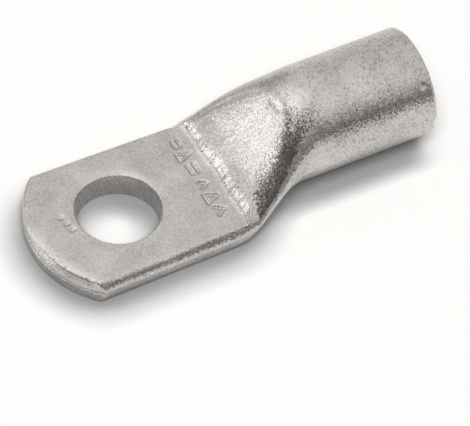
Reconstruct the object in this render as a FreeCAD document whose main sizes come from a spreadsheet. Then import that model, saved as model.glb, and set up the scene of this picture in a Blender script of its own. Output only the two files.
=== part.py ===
import FreeCAD, Part
import math
import os

import Sketcher

# Copper cable lug: one length of tube, one end left round for the conductor,
# the other pressed flat into a palm that takes a stud. All sizes in millimetres.
# Frame: origin at the centre of the stud hole on the underside of the palm,
# +X towards the mouth of the barrel, +Y to the far side, +Z up.

# Driving dimensions
SIZES = (
    # round end
    ("tube_diameter", 14.0),
    ("bore_diameter", 10.4),
    ("barrel_length", 16.4),
    ("barrel_lift", 0.3),
    ("mouth_inner_chamfer", 0.4),
    ("mouth_outer_chamfer", 0.25),
    # palm
    ("palm_thickness", 3.4),
    ("palm_tip_width", 20.2),
    ("palm_root_width", 19.5),
    ("palm_top_rounding", 1.0),
    ("palm_under_rounding", 1.5),
    ("stud_hole_diameter", 10.5),
    ("hole_rim_rounding", 0.4),
    ("hole_to_tip", 11.5),
    ("tip_radius", 13.1),
    ("tip_rim_rounding", 0.45),
    # line where the two pressed walls meet, seen on the cut tip
    ("seam_depth", 0.15),
    ("seam_height", 0.24),
    # ramp that the press leaves between palm and barrel
    ("hole_to_ramp", 13.1),
    ("ramp_angle", 48.7),
    ("ramp_foot_radius", 1.0),
    ("ramp_brow_radius", 4.4),
    ("ramp_brow_clearance", 0.12),
    # fold of the tube beside and under the ramp
    ("fold_lead", 0.8),
    ("fold_overlap", 1.0),
    ("fold_settle", 1.35),
    ("fold_width", 19.6),
    ("fold_level", 1.9),
    ("fold_crown", 5.7),
    ("fold_belly", 2.5),
    ("shoulder_lift", 1.2),
    ("neck_lift", 2.4),
    # inside of the fold
    ("slit_height", 0.3),
    ("slit_inset", 0.55),
    ("cavity_lift", 1.7),
)

# How many steps each lofted form is divided into
OUTER_STEPS = 5
INNER_STEPS = 4
# Crown of the fold: share of a straight rise in its eased rise
STRAIGHT_SHARE = 0.3
# Room that a cutting profile leaves past the piece on every side
CUT_MARGIN = 5.0
# Degrees that the seam runs past each corner of the tip
SEAM_OVERRUN = 3.0
# Lengths and volumes under this count as nothing
TINY = 1e-6
# How closely an edge has to lie to its named place
NEAR = 1e-3

doc = FreeCAD.newDocument("cable_lug")
sheet = doc.addObject("Spreadsheet::Sheet", "Sizes")
for row, (size_name, size_value) in enumerate(SIZES, start=1):
    sheet.set("A%d" % row, size_name)
    sheet.set("B%d" % row, str(size_value))
    sheet.setAlias("B%d" % row, size_name)
doc.recompute()

body = doc.addObject("PartDesign::Body", "cable_lug")
body.Label = "cable_lug"
body.Placement = FreeCAD.Placement()

# Places worked out from the driving dimensions, as expressions
WALL = "(Sizes.tube_diameter - Sizes.bore_diameter) / 2"
BARREL_AXIS = "(Sizes.tube_diameter / 2 + Sizes.barrel_lift)"
BARREL_TOP = "(Sizes.tube_diameter + Sizes.barrel_lift)"
ANGLE = "(Sizes.ramp_angle * 1 deg)"
RAMP_RUN = "((%s - Sizes.palm_thickness) / tan(%s))" % (BARREL_TOP, ANGLE)
FOLD_START = "(Sizes.hole_to_ramp - Sizes.fold_lead)"
FOLD_END = "(Sizes.hole_to_ramp + %s + Sizes.fold_settle)" % RAMP_RUN
MOUTH = "(%s + Sizes.barrel_length)" % FOLD_END
MID_PALM = "(Sizes.palm_thickness / 2)"
SLIT_TOP = "(%s + Sizes.slit_height / 2)" % MID_PALM
SLIT_BOTTOM = "(%s - Sizes.slit_height / 2)" % MID_PALM
SLIT_START = "(Sizes.hole_to_ramp + (%s - Sizes.palm_thickness + %s / cos(%s)) / tan(%s))" % (
    SLIT_TOP, WALL, ANGLE, ANGLE)


def size(name):
    """Value of one driving dimension."""
    return float(sheet.get(name))


def value(expression):
    """Value of an expression of the driving dimensions."""
    return float(body.evalExpression(expression))


def origin_plane(role):
    """Origin plane of the body with this role."""
    for feature in body.Origin.OriginFeatures:
        if feature.Role == role:
            return feature
    raise ValueError(role)


def new_sketch(name, role, offset=None):
    """Sketch on one of the body's origin planes, moved along its normal."""
    sketch = body.newObject("Sketcher::SketchObject", name)
    sketch.AttachmentSupport = [(origin_plane(role), "")]
    sketch.MapMode = "FlatFace"
    if offset:
        sketch.setExpression("AttachmentOffset.Base.z", offset)
    return sketch


def constrain(sketch, kind, *values):
    """One constraint without a size of its own."""
    return sketch.addConstraint(Sketcher.Constraint(kind, *values))


def dimension(sketch, name, expression, kind, *values):
    """One named constraint bound to the sheet."""
    index = sketch.addConstraint(Sketcher.Constraint(kind, *values))
    sketch.renameConstraint(index, name)
    sketch.setExpression("Constraints." + name, expression)
    return index


def vector(along, up):
    """Point in the plane of a sketch."""
    return FreeCAD.Vector(along, up, 0)


def eased(share):
    """Rise from 0 to 1 that is level at both ends."""
    return share * share * (3 - 2 * share)


def swell(share):
    """Hump from 0 over 1 at the middle back to 0, level at both ends."""
    return 16 * share ** 2 * (1 - share) ** 2


def blend(first, last, share):
    """Expression for a value this share of the way from first to last."""
    return "(%s + (%s - %s) * %.6f)" % (first, last, first, share)


def oval_section(name, station, half_width, level, top, bottom):
    """Closed oval across the tube: an upper and a lower half ellipse of one width."""
    sketch = new_sketch(name, "YZ_Plane", station)
    rough_width = size("fold_width") / 2
    rough_height = size("palm_thickness")
    rough_level = size("palm_thickness")
    middle = vector(0, rough_level)
    oval = Part.Ellipse(middle, rough_width, rough_height)
    upper = sketch.addGeometry(Part.ArcOfEllipse(oval, 0, math.pi), False)
    sketch.exposeInternalGeometry(upper)
    lower = sketch.addGeometry(Part.ArcOfEllipse(oval, math.pi, 2 * math.pi), False)
    sketch.exposeInternalGeometry(lower)
    wide_axis = upper + 1
    crown_axis = upper + 2
    belly_axis = lower + 2
    constrain(sketch, "PointOnObject", upper, 3, -2)
    constrain(sketch, "Horizontal", lower, 3, upper, 3)
    constrain(sketch, "Horizontal", wide_axis)
    constrain(sketch, "Horizontal", lower + 1)
    constrain(sketch, "Coincident", upper, 2, lower, 1)
    constrain(sketch, "Coincident", upper, 1, lower, 2)
    constrain(sketch, "PointOnObject", upper, 1, wide_axis)
    constrain(sketch, "PointOnObject", upper, 2, wide_axis)
    left, right = end_order(sketch, wide_axis, "x")
    dimension(sketch, "width", "2 * " + half_width,
              "DistanceX", wide_axis, left, wide_axis, right, 2 * rough_width)
    low, high = end_order(sketch, crown_axis, "y")
    dimension(sketch, "crown", "2 * (%s - %s)" % (top, level),
              "DistanceY", crown_axis, low, crown_axis, high, 2 * rough_height)
    low, high = end_order(sketch, belly_axis, "y")
    dimension(sketch, "belly", "2 * (%s - %s)" % (level, bottom),
              "DistanceY", belly_axis, low, belly_axis, high, 2 * rough_height)
    dimension(sketch, "level", level, "DistanceY", -1, 1, upper, 3, rough_level)
    return sketch


def end_order(sketch, line, axis):
    """The two ends of a line as (lower, higher) along one axis."""
    start = getattr(sketch.Geometry[line].StartPoint, axis)
    end = getattr(sketch.Geometry[line].EndPoint, axis)
    return (1, 2) if start < end else (2, 1)


def polygon_sketch(name, corners):
    """Straight-sided outline on the upright middle plane, corners as (x, z) expressions."""
    sketch = new_sketch(name, "XZ_Plane")
    points = [vector(value(along), value(up)) for along, up in corners]
    following = points[1:] + points[:1]
    lines = [sketch.addGeometry(Part.LineSegment(start, end), False)
             for start, end in zip(points, following)]
    for line, next_line in zip(lines, lines[1:] + lines[:1]):
        constrain(sketch, "Coincident", line, 2, next_line, 1)
    for number, (line, (along, up)) in enumerate(zip(lines, corners)):
        place_point(sketch, "along_%d" % number, "DistanceX", line, along)
        place_point(sketch, "up_%d" % number, "DistanceY", line, up)
    return sketch


def place_point(sketch, name, kind, line, expression):
    """Holds the start of a line at a distance from the origin, on either side of it."""
    distance = value(expression)
    axis = -2 if kind == "DistanceX" else -1
    if abs(distance) < TINY:
        constrain(sketch, "PointOnObject", line, 1, axis)
    elif distance < 0:
        dimension(sketch, name, "-(%s)" % expression, kind, line, 1, -1, 1, -distance)
    else:
        dimension(sketch, name, expression, kind, -1, 1, line, 1, distance)


def turning_axis(sketch, start, end):
    """Construction line that a profile turns about, its ends as (x, z) expressions."""
    first = vector(value(start[0]), value(start[1]))
    last = vector(value(end[0]), value(end[1]))
    axis = sketch.addGeometry(Part.LineSegment(first, last), True)
    for point, (along, up) in ((1, start), (2, end)):
        for name, kind, expression in (("along", "DistanceX", along), ("up", "DistanceY", up)):
            label = "axis_%s_%d" % (name, point)
            line_axis = -2 if kind == "DistanceX" else -1
            if abs(value(expression)) < TINY:
                constrain(sketch, "PointOnObject", axis, point, line_axis)
            else:
                dimension(sketch, label, expression, kind, -1, 1, axis, point, value(expression))
    doc.recompute()
    return sketch, ["Axis0"]


def round_section(name, station, diameter):
    """Circle across the tube on the barrel's axis, in two halves like the ovals."""
    sketch = new_sketch(name, "YZ_Plane", station)
    radius = size("tube_diameter") / 2
    middle = vector(0, radius)
    circle = Part.Circle(middle, FreeCAD.Vector(0, 0, 1), radius)
    upper = sketch.addGeometry(Part.ArcOfCircle(circle, 0, math.pi), False)
    lower = sketch.addGeometry(Part.ArcOfCircle(circle, math.pi, 2 * math.pi), False)
    constrain(sketch, "PointOnObject", upper, 3, -2)
    constrain(sketch, "Horizontal", lower, 3, upper, 3)
    constrain(sketch, "Coincident", upper, 2, lower, 1)
    constrain(sketch, "Coincident", upper, 1, lower, 2)
    constrain(sketch, "Horizontal", upper, 1, upper, 3)
    constrain(sketch, "Horizontal", upper, 2, upper, 3)
    dimension(sketch, "level", BARREL_AXIS, "DistanceY", -1, 1, upper, 3, radius)
    dimension(sketch, "radius", diameter + " / 2", "Radius", upper, radius)
    return sketch


def build_palm():
    """Flat slab with a bowed tip, its long edges rounded where the tube folds over."""
    sketch = new_sketch("palm_outline", "XY_Plane")
    tip = -size("hole_to_tip")
    root = value(FOLD_START)
    half = size("palm_root_width") / 2
    heel = vector(root + size("fold_overlap"), half - size("fold_overlap"))
    shoulder = vector(root, half)
    corner = vector(tip / 2, half)
    far_heel = vector(heel.x, -heel.y)
    far_shoulder = vector(shoulder.x, -shoulder.y)
    far_corner = vector(corner.x, -corner.y)
    bow = Part.Arc(corner, vector(tip, 0), far_corner)
    near_side = sketch.addGeometry(Part.LineSegment(shoulder, corner), False)
    tip_bow = sketch.addGeometry(bow, False)
    far_side = sketch.addGeometry(Part.LineSegment(far_corner, far_shoulder), False)
    far_tuck = sketch.addGeometry(Part.LineSegment(far_shoulder, far_heel), False)
    end = sketch.addGeometry(Part.LineSegment(far_heel, heel), False)
    near_tuck = sketch.addGeometry(Part.LineSegment(heel, shoulder), False)
    constrain(sketch, "Coincident", near_side, 2, tip_bow, 1)
    constrain(sketch, "Coincident", tip_bow, 2, far_side, 1)
    constrain(sketch, "Coincident", far_side, 2, far_tuck, 1)
    constrain(sketch, "Coincident", far_tuck, 2, end, 1)
    constrain(sketch, "Coincident", end, 2, near_tuck, 1)
    constrain(sketch, "Coincident", near_tuck, 2, near_side, 1)
    constrain(sketch, "Symmetric", tip_bow, 1, tip_bow, 2, -1)
    constrain(sketch, "Symmetric", far_tuck, 1, near_side, 1, -1)
    constrain(sketch, "Symmetric", far_tuck, 2, near_tuck, 1, -1)
    constrain(sketch, "PointOnObject", tip_bow, 3, -1)
    dimension(sketch, "tip_radius", "Sizes.tip_radius", "Radius", tip_bow, size("tip_radius"))
    dimension(sketch, "tip_centre", "Sizes.tip_radius - Sizes.hole_to_tip",
              "DistanceX", -1, 1, tip_bow, 3, size("tip_radius") - size("hole_to_tip"))
    dimension(sketch, "tip_width", "Sizes.palm_tip_width",
              "DistanceY", tip_bow, 2, tip_bow, 1, size("palm_tip_width"))
    dimension(sketch, "root_width", "Sizes.palm_root_width",
              "DistanceY", far_tuck, 1, near_side, 1, size("palm_root_width"))
    dimension(sketch, "root_station", FOLD_START, "DistanceX", -1, 1, near_side, 1, root)
    dimension(sketch, "heel_station", FOLD_START + " + Sizes.fold_overlap",
              "DistanceX", -1, 1, end, 2, heel.x)
    dimension(sketch, "heel_width", "Sizes.palm_root_width - 2 * Sizes.fold_overlap",
              "DistanceY", end, 1, end, 2, 2 * heel.y)
    pad = body.newObject("PartDesign::Pad", "palm")
    pad.Profile = sketch
    pad.setExpression("Length", "Sizes.palm_thickness")
    doc.recompute()

    long_top = long_edges(pad.Shape, size("palm_thickness"))
    top_rounding = body.newObject("PartDesign::Fillet", "palm_top_rounding")
    top_rounding.Base = (pad, long_top)
    top_rounding.setExpression("Radius", "Sizes.palm_top_rounding")
    doc.recompute()

    long_under = long_edges(top_rounding.Shape, 0)
    under_rounding = body.newObject("PartDesign::Fillet", "palm_under_rounding")
    under_rounding.Base = (top_rounding, long_under)
    under_rounding.setExpression("Radius", "Sizes.palm_under_rounding")
    doc.recompute()
    return under_rounding


def long_edges(shape, height):
    """Names of the straight edges at this height that run along the palm's sides."""
    names = []
    for index, edge in enumerate(shape.Edges, start=1):
        first = edge.firstVertex().Point
        last = edge.lastVertex().Point
        level = abs(first.z - height) < TINY and abs(last.z - height) < TINY
        along = abs(last.x - first.x) > TINY
        straight = edge.Curve.TypeId == "Part::GeomLine"
        if level and along and straight:
            names.append("Edge%d" % index)
    return names


def build_fold():
    """Shoulder of the tube: lofted from the pressed fold to the round barrel."""
    sections = []
    fold_half = "(Sizes.fold_width / 2)"
    for step in range(OUTER_STEPS):
        share = step / OUTER_STEPS
        rise = eased(share)
        bulge = swell(share)
        crown_share = STRAIGHT_SHARE * share + (1 - STRAIGHT_SHARE) * rise
        station = blend(FOLD_START, FOLD_END, share)
        half_width = blend(fold_half, "Sizes.tube_diameter / 2", rise)
        level = "(%s + Sizes.shoulder_lift * %.6f)" % (
            blend("Sizes.fold_level", BARREL_AXIS, rise), bulge)
        top = blend("Sizes.fold_crown", BARREL_TOP, crown_share)
        bottom = "(%s + Sizes.neck_lift * %.6f)" % (
            blend("(-Sizes.fold_belly)", "Sizes.barrel_lift", rise), bulge)
        sections.append(oval_section("fold_section_%d" % step, station, half_width, level, top, bottom))
    sections.append(round_section("fold_section_%d" % OUTER_STEPS, FOLD_END, "Sizes.tube_diameter"))
    doc.recompute()
    loft = body.newObject("PartDesign::AdditiveLoft", "fold")
    loft.Profile = sections[0]
    loft.Sections = sections[1:]
    loft.Ruled = False
    doc.recompute()
    return loft


def build_barrel():
    """Round end of the tube, turned, the outer rim of its mouth broken."""
    rim_height = BARREL_TOP + " - Sizes.mouth_outer_chamfer"
    sketch = polygon_sketch("barrel_profile", (
        (FOLD_END, BARREL_AXIS),
        (MOUTH, BARREL_AXIS),
        (MOUTH, rim_height),
        (MOUTH + " - Sizes.mouth_outer_chamfer", BARREL_TOP),
        (FOLD_END, BARREL_TOP)))
    axis = turning_axis(sketch, (FOLD_END, BARREL_AXIS), (MOUTH, BARREL_AXIS))
    barrel = body.newObject("PartDesign::Revolution", "barrel")
    barrel.Profile = sketch
    barrel.ReferenceAxis = axis
    barrel.Angle = 360
    doc.recompute()
    return barrel


def build_ramp():
    """Flat, foot, ramp and brow that the upper tool presses across the fold."""
    sketch = new_sketch("upper_tool", "XZ_Plane")
    angle = math.radians(size("ramp_angle"))
    foot_radius = size("ramp_foot_radius")
    brow_radius = size("ramp_brow_radius")
    flat = size("palm_thickness")
    crest = size("tube_diameter") + size("barrel_lift") + size("ramp_brow_clearance")
    foot_lead = foot_radius * math.tan(angle / 2)
    brow_lead = brow_radius * math.tan(angle / 2)
    brow_x = size("hole_to_ramp") + (crest - flat) / math.tan(angle)
    left = -size("hole_to_tip") - CUT_MARGIN
    right = brow_x + brow_lead + size("barrel_length")
    high = crest + CUT_MARGIN
    foot_start = vector(size("hole_to_ramp") - foot_lead, flat)
    foot_end = vector(size("hole_to_ramp") + foot_lead * math.cos(angle),
                      flat + foot_lead * math.sin(angle))
    brow_start = vector(brow_x - brow_lead * math.cos(angle), crest - brow_lead * math.sin(angle))
    brow_end = vector(brow_x + brow_lead, crest)
    normal = FreeCAD.Vector(0, 0, 1)
    foot_circle = Part.Circle(vector(foot_start.x, flat + foot_radius), normal, foot_radius)
    brow_circle = Part.Circle(vector(brow_end.x, crest - brow_radius), normal, brow_radius)
    flat_line = sketch.addGeometry(Part.LineSegment(vector(left, flat), foot_start), False)
    foot = sketch.addGeometry(
        Part.ArcOfCircle(foot_circle, 1.5 * math.pi, 1.5 * math.pi + angle), False)
    ramp = sketch.addGeometry(Part.LineSegment(foot_end, brow_start), False)
    brow = sketch.addGeometry(
        Part.ArcOfCircle(brow_circle, 0.5 * math.pi, 0.5 * math.pi + angle), False)
    crest_line = sketch.addGeometry(Part.LineSegment(brow_end, vector(right, crest)), False)
    right_line = sketch.addGeometry(Part.LineSegment(vector(right, crest), vector(right, high)), False)
    high_line = sketch.addGeometry(Part.LineSegment(vector(right, high), vector(left, high)), False)
    left_line = sketch.addGeometry(Part.LineSegment(vector(left, high), vector(left, flat)), False)
    constrain(sketch, "Tangent", flat_line, 2, foot, 1)
    constrain(sketch, "Tangent", foot, 2, ramp, 1)
    constrain(sketch, "Tangent", ramp, 2, brow, 2)
    constrain(sketch, "Tangent", brow, 1, crest_line, 1)
    constrain(sketch, "Coincident", crest_line, 2, right_line, 1)
    constrain(sketch, "Coincident", right_line, 2, high_line, 1)
    constrain(sketch, "Coincident", high_line, 2, left_line, 1)
    constrain(sketch, "Coincident", left_line, 2, flat_line, 1)
    for level_line in (flat_line, crest_line, high_line):
        constrain(sketch, "Horizontal", level_line)
    for upright_line in (right_line, left_line):
        constrain(sketch, "Vertical", upright_line)
    crest_height = BARREL_TOP + " + Sizes.ramp_brow_clearance"
    dimension(sketch, "foot_radius", "Sizes.ramp_foot_radius", "Radius", foot, foot_radius)
    dimension(sketch, "brow_radius", "Sizes.ramp_brow_radius", "Radius", brow, brow_radius)
    dimension(sketch, "ramp_angle", ANGLE, "Angle", ramp, angle)
    dimension(sketch, "foot_station",
              "Sizes.hole_to_ramp - Sizes.ramp_foot_radius * tan(%s / 2)" % ANGLE,
              "DistanceX", -1, 1, flat_line, 2, foot_start.x)
    dimension(sketch, "flat_height", "Sizes.palm_thickness",
              "DistanceY", -1, 1, flat_line, 2, flat)
    dimension(sketch, "crest_height", crest_height, "DistanceY", -1, 1, crest_line, 2, crest)
    dimension(sketch, "tool_height", crest_height + " + %.1f" % CUT_MARGIN,
              "DistanceY", -1, 1, high_line, 1, high)
    dimension(sketch, "tool_reach", MOUTH, "DistanceX", -1, 1, crest_line, 2, right)
    dimension(sketch, "tool_start", "Sizes.hole_to_tip + %.1f" % CUT_MARGIN,
              "DistanceX", left_line, 1, -1, 1, -left)
    return cut_across(sketch, "ramp")


def build_underside():
    """Flat underside that the lower tool leaves on the palm and the fold."""
    start = "-Sizes.hole_to_tip - %.1f" % CUT_MARGIN
    depth = "-Sizes.fold_belly - %.1f" % CUT_MARGIN
    ground = "0"
    sketch = polygon_sketch("lower_tool", (
        (start, depth), (FOLD_END, depth), (FOLD_END, ground), (start, ground)))
    return cut_across(sketch, "underside")


def cut_across(sketch, name):
    """Cut right across the piece, both ways from its middle plane."""
    before = body.Shape.Volume
    pocket = body.newObject("PartDesign::Pocket", name)
    pocket.Profile = sketch
    pocket.Type = "ThroughAll"
    pocket.Midplane = True
    doc.recompute()
    check_cut(pocket, before)
    return pocket


def check_cut(feature, before):
    """A cut that takes nothing away is a fault."""
    if feature.Shape.Volume > before - TINY:
        raise RuntimeError(feature.Name + " cuts nothing")


def build_stud_hole():
    """Hole through the palm, its upper rim rolled over by the punch."""
    sketch = new_sketch("stud_hole_outline", "XY_Plane")
    radius = size("stud_hole_diameter") / 2
    circle = sketch.addGeometry(
        Part.Circle(vector(0, 0), FreeCAD.Vector(0, 0, 1), radius), False)
    constrain(sketch, "Coincident", circle, 3, -1, 1)
    dimension(sketch, "diameter", "Sizes.stud_hole_diameter", "Diameter", circle, 2 * radius)
    before = body.Shape.Volume
    pocket = body.newObject("PartDesign::Pocket", "stud_hole")
    pocket.Profile = sketch
    pocket.Reversed = True
    pocket.setExpression("Length", "Sizes.palm_thickness")
    doc.recompute()
    check_cut(pocket, before)
    rim = circle_edge(pocket.Shape, radius, "z", size("palm_thickness"))
    rounding = body.newObject("PartDesign::Fillet", "hole_rim_rounding")
    rounding.Base = (pocket, [rim])
    rounding.setExpression("Radius", "Sizes.hole_rim_rounding")
    doc.recompute()
    return rounding


def circle_edge(shape, radius, axis, place):
    """Name of the round edge of this radius that lies at this place along an axis."""
    for index, edge in enumerate(shape.Edges, start=1):
        if edge.Curve.TypeId != "Part::GeomCircle":
            continue
        same_radius = abs(edge.Curve.Radius - radius) < TINY
        same_place = abs(getattr(edge.CenterOfMass, axis) - place) < NEAR
        if same_radius and same_place:
            return "Edge%d" % index
    raise ValueError("no round edge of radius %.3f" % radius)


def build_tip():
    """Cut tip: rolled-over upper rim and the line where the pressed walls meet."""
    slab = body.Tip
    rim = tip_edge(slab.Shape)
    rounding = body.newObject("PartDesign::Fillet", "tip_rim_rounding")
    rounding.Base = (slab, [rim])
    rounding.setExpression("Radius", "Sizes.tip_rim_rounding")
    doc.recompute()

    bow_centre = "Sizes.tip_radius - Sizes.hole_to_tip"
    mouth_station = "-Sizes.hole_to_tip - Sizes.seam_depth"
    sketch = polygon_sketch("seam_notch", (
        (mouth_station, MID_PALM + " - Sizes.seam_height"),
        ("-Sizes.hole_to_tip + Sizes.seam_depth", MID_PALM),
        (mouth_station, MID_PALM + " + Sizes.seam_height")))
    axis = turning_axis(sketch, (bow_centre, "0"),
                        (bow_centre, "Sizes.palm_thickness"))
    before = body.Shape.Volume
    groove = body.newObject("PartDesign::Groove", "seam")
    groove.Profile = sketch
    groove.ReferenceAxis = axis
    groove.Midplane = True
    groove.setExpression(
        "Angle",
        "2 * (asin(Sizes.palm_tip_width / 2 / Sizes.tip_radius) + %.1f deg)" % SEAM_OVERRUN)
    doc.recompute()
    check_cut(groove, before)
    return groove


def tip_edge(shape):
    """Name of the bowed upper edge at the tip."""
    for index, edge in enumerate(shape.Edges, start=1):
        if edge.Curve.TypeId != "Part::GeomCircle":
            continue
        on_top = abs(edge.BoundBox.ZMin - size("palm_thickness")) < NEAR
        flat = edge.BoundBox.ZLength < NEAR
        at_tip = edge.BoundBox.XMin < -size("hole_to_tip") + NEAR
        if on_top and flat and at_tip:
            return "Edge%d" % index
    raise ValueError("no bowed upper edge at the tip")


def build_bore():
    """Straight bore for the conductor, the inner rim of its mouth broken."""
    bore_top = BARREL_AXIS + " + Sizes.bore_diameter / 2"
    past_mouth = "%s + %.1f" % (MOUTH, CUT_MARGIN)
    past_rim = "%s + Sizes.mouth_inner_chamfer + %.1f" % (bore_top, CUT_MARGIN)
    sketch = polygon_sketch("bore_profile", (
        (FOLD_END, BARREL_AXIS),
        (past_mouth, BARREL_AXIS),
        (past_mouth, past_rim),
        (MOUTH + " - Sizes.mouth_inner_chamfer", bore_top),
        (FOLD_END, bore_top)))
    axis = turning_axis(sketch, (FOLD_END, BARREL_AXIS), (MOUTH, BARREL_AXIS))
    before = body.Shape.Volume
    bore = body.newObject("PartDesign::Groove", "bore")
    bore.Profile = sketch
    bore.ReferenceAxis = axis
    bore.Angle = 360
    doc.recompute()
    check_cut(bore, before)
    return bore


def build_cavity():
    """Inside of the fold: narrows from the bore to the slit where the walls meet."""
    slit_half = "(Sizes.fold_width / 2 - %s - Sizes.slit_inset)" % WALL
    bore_top = "(%s + Sizes.bore_diameter / 2)" % BARREL_AXIS
    bore_bottom = "(%s - Sizes.bore_diameter / 2)" % BARREL_AXIS
    sections = [round_section("cavity_section_0", FOLD_END, "Sizes.bore_diameter")]
    for step in range(1, INNER_STEPS + 1):
        share = 1 - step / INNER_STEPS
        rise = eased(share)
        station = blend(SLIT_START, FOLD_END, share)
        half_width = blend(slit_half, "Sizes.bore_diameter / 2", rise)
        top = blend(SLIT_TOP, bore_top, share)
        bottom = "(%s + Sizes.cavity_lift * %.6f)" % (
            blend(SLIT_BOTTOM, bore_bottom, rise), swell(share))
        level = "((%s + %s) / 2)" % (top, bottom)
        sections.append(oval_section("cavity_section_%d" % step, station, half_width, level, top, bottom))
    doc.recompute()
    before = body.Shape.Volume
    loft = body.newObject("PartDesign::SubtractiveLoft", "cavity")
    loft.Profile = sections[0]
    loft.Sections = sections[1:]
    loft.Ruled = False
    doc.recompute()
    check_cut(loft, before)
    return loft


build_palm()
build_tip()
build_stud_hole()
build_fold()
build_barrel()
build_ramp()
build_underside()
build_bore()
build_cavity()
doc.recompute()

# Every object has to be sound before anything is written
for item in doc.Objects:
    if "Invalid" in item.State or "Error" in item.State:
        raise RuntimeError(item.Name + " failed: " + ", ".join(item.State))
lug = body.Shape
if lug.isNull() or not lug.isValid() or len(lug.Solids) != 1:
    raise RuntimeError("cable_lug is not one sound solid")

os.makedirs("parts", exist_ok=True)
lug.exportStep(os.path.join("parts", body.Label + ".step"))
box = lug.BoundBox
print("cable_lug %.2f x %.2f x %.2f mm, %.1f mm3" % (
    box.XLength, box.YLength, box.ZLength, lug.Volume))
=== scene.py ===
import math

import bmesh
import bpy
import numpy as np
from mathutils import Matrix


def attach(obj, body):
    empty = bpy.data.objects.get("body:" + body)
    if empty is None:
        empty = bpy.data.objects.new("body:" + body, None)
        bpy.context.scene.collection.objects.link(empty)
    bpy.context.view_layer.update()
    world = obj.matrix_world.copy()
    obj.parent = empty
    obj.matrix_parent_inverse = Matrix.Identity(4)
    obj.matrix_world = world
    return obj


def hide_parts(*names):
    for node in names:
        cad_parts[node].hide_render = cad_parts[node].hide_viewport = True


# Cable lug of tinned copper tube: a round barrel, a pressed fold and a flat palm
# with a stud hole, lying on a pale floor.

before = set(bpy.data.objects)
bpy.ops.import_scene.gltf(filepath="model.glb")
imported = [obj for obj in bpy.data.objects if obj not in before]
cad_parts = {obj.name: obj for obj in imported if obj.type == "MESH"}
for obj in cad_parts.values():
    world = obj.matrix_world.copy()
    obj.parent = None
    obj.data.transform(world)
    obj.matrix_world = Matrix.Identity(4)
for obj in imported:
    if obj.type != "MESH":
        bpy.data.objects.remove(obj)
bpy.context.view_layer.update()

# Sizes are in millimetres, in the frame of the part's source. The origin is the centre
# of the stud hole on the palm's underside, X runs along the tube towards the mouth of the
# barrel, Y across the palm to the far side, and Z up. A station is a place along X, a
# level is a height, and a span is a pair of stations or other values where a change
# begins and ends.
MM = 0.001

# Barrel and its mouth
TUBE_RADIUS = 7.0
BORE_RADIUS = 5.2
BARREL_LEVEL = 7.3
BARREL_CROWN = 14.3
BARREL_BELLY = 0.3
# Station whose section stands for the barrel at the mouth and in the bore
BARREL_STATION = 30.0
MOUTH = 40.426
MOUTH_LIP = 0.28
LIP_STEPS = 5
# Face and inner chamfer of the mouth: radius, and how far in from the mouth
MOUTH_RINGS = ((6.2, 0.0), (5.75, 0.01), (5.62, 0.04), (5.45, 0.15), (5.28, 0.34), (BORE_RADIUS, 0.6))
BORE_STATIONS = (37.0, 33.0, 29.0, 26.0)
# Where the points of the bore's rings change over to an even spacing
BORE_EVEN_SPAN = (39.0, 28.0)

# Palm and its long sides, which have a soft bevel along the top
PALM_THICKNESS = 3.4
PALM_TIP_HALF = 10.1
PALM_ROOT_HALF = 9.75
PALM_TIP_STATION = -6.74
PALM_ROOT_STATION = 12.3
SIDE_BEVEL_LEVEL = 2.35
SIDE_BEVEL_LEAN = 0.74
SIDE_BEVEL_SOFTNESS = 0.35
SIDE_RIM = 0.4
# Span over which the rim above the bevel gets crisper, and by what share
SIDE_CRISP_SPAN = (1.0, 10.0)
SIDE_CRISP_SHARE = 0.5
UNDER_ROUNDING = 1.5

# Cut tip, with the line where the two pressed walls meet
TIP_RADIUS = 13.1
TIP_CENTRE = 1.6
TIP_RIM = 0.45
CORNER_ROUNDING = 0.4
CORNER_HALVINGS = 60
SEAM_LEVEL = 1.7
SEAM_HALF_HEIGHT = 0.15
SEAM_DEPTH = 0.09
SEAM_SHARPNESS = 1.5

# Stud hole
HOLE_RADIUS = 5.25
HOLE_RIM = 0.3
HOLE_UNDER_RIM = 0.12

# Fold between palm and barrel, before the tool and the ground flatten it
FOLD_START = 12.3
FOLD_END = 24.026
FOLD_HALF = 9.8
FOLD_LEVEL = 1.9
FOLD_BELLY = -2.5
SHOULDER_LIFT = 1.2
NECK_LIFT = 2.4
# Span over which the flat palm turns into the fold
FOLD_BLEND_SPAN = (11.2, 12.9)
# Height of the free crown line at stations along the fold
CROWN_TURNS = ((12.3, 4.9), (14.36, 5.6), (15.36, 6.25), (16.36, 7.2), (17.4, 8.38), (18.2, 9.35),
               (19.0, 10.3), (20.0, 11.48), (21.0, 12.5), (22.0, 13.25), (23.0, 13.8), (24.2, 14.15),
               (25.6, 14.3), (27.0, 14.3))
# How far to each side that line is smoothed, and over how many samples
CROWN_SMOOTHING = 0.5
CROWN_SAMPLES = 41
# How much fuller than half an ellipse the free shoulders are, beside the pressed flat
FAR_FULLNESS = 0.4
FAR_FULLNESS_SPAN = (12.3, 14.0)
NEAR_CORNER_FULLNESS = 0.5
NEAR_FULLNESS = -0.2
NEAR_FULLNESS_SPAN = (13.2, 14.9)
FULLNESS_END_SPAN = (16.0, 23.5)

# Space inside the fold: behind the bore it narrows to a slit, over a floor that is lifted
# in between
SLIT_START = 14.13
SLIT_HALF = 7.45
SLIT_TOP = 1.85
SLIT_UNDER = 1.55
CAVITY_LIFT = 1.7
CAVITY_RINGS = 22

# Pressed ramp: its slope in degrees at stations along the piece
RAMP_TURNS = ((12.45, 0.0), (12.95, 12.0), (13.2, 34.0), (13.5, 52.5), (13.8, 52.0), (14.2, 45.0),
              (14.8, 43.5), (15.3, 45.0), (16.0, 47.0), (17.5, 49.0), (19.5, 52.0), (23.0, 52.0))
RAMP_START = 11.0
RAMP_END = 27.0
RAMP_STEPS = 3200
# Number of steps over which the slope is smoothed
RAMP_SMOOTHING = 81
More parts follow.
